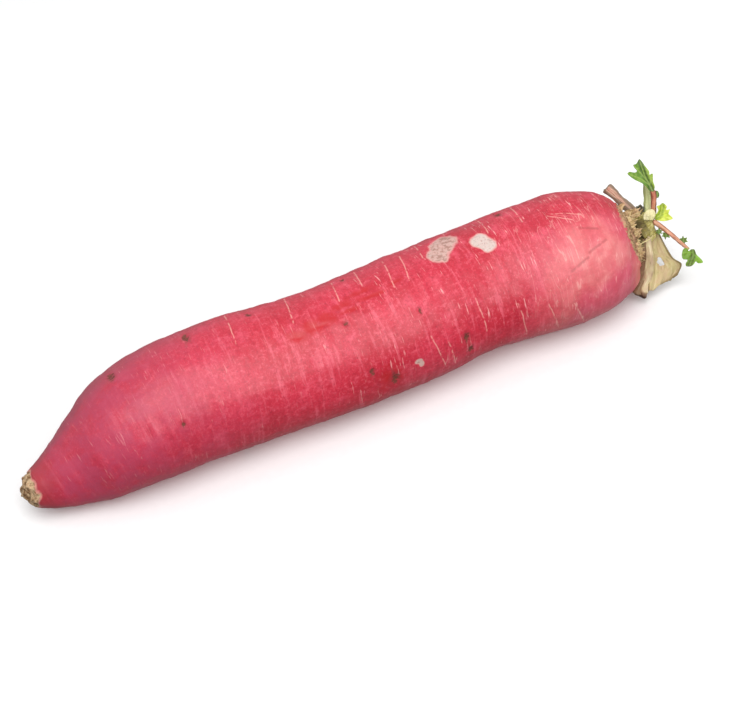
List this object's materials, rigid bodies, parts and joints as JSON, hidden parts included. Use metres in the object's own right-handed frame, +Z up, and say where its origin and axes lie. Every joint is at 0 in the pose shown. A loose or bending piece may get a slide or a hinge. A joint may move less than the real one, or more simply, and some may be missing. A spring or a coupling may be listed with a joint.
{
  "type": "daikon radish",
  "caption": "Whole red-skinned daikon radish lying on its side, a long, nearly round root with a blunt corky tail, a dry crown, cut leaf stalks and small new leaves.",
  "frame": {"origin": "middle of the whole part's box in X and Y, on the surface that the root lies on", "axes": "+X along the root from its tail to its crown, +Z up from the surface"},
  "size_m": [0.3596, 0.07, 0.0674],
  "materials": {
    "skin": "waxy satin skin, crimson to pink, scuffed",
    "crown_tissue": "fibrous, matt, olive brown",
    "dry_stalk": "dry, creased, matt tan",
    "green_stalk": "fresh pale green stalk",
    "red_stalk": "fresh stalk with a red tinge",
    "leaf": "fresh green leaf, satin",
    "young_leaf": "crumpled yellow-green leaf",
    "bud_scale": "cream, satin",
    "dry_scale": "dry and papery"
  },
  "bodies": {
    "root": {"taproot": "skin", "crown": "crown_tissue", "upper_stub": "dry_stalk", "short_stub": "dry_stalk", "pale_stub": "green_stalk", "sprout_stalk": "red_stalk", "sprout_leaf": "leaf", "sprout_bract": "leaf", "young_leaf": "young_leaf", "bud_scale": "bud_scale", "side_stalk": "red_stalk", "side_leaf": "leaf", "side_leaflet_1": "leaf", "side_leaflet_2": "leaf", "side_leaflet_3": "leaf", "front_stub": "dry_stalk", "back_stub": "dry_stalk", "dry_scale_1": "dry_scale", "dry_scale_2": "dry_scale", "dry_scale_3": "dry_scale", "dry_scale_4": "dry_scale", "dry_scale_5": "dry_scale", "dry_scale_6": "dry_scale", "dry_scale_7": "dry_scale"}
  },
  "joints": []
}
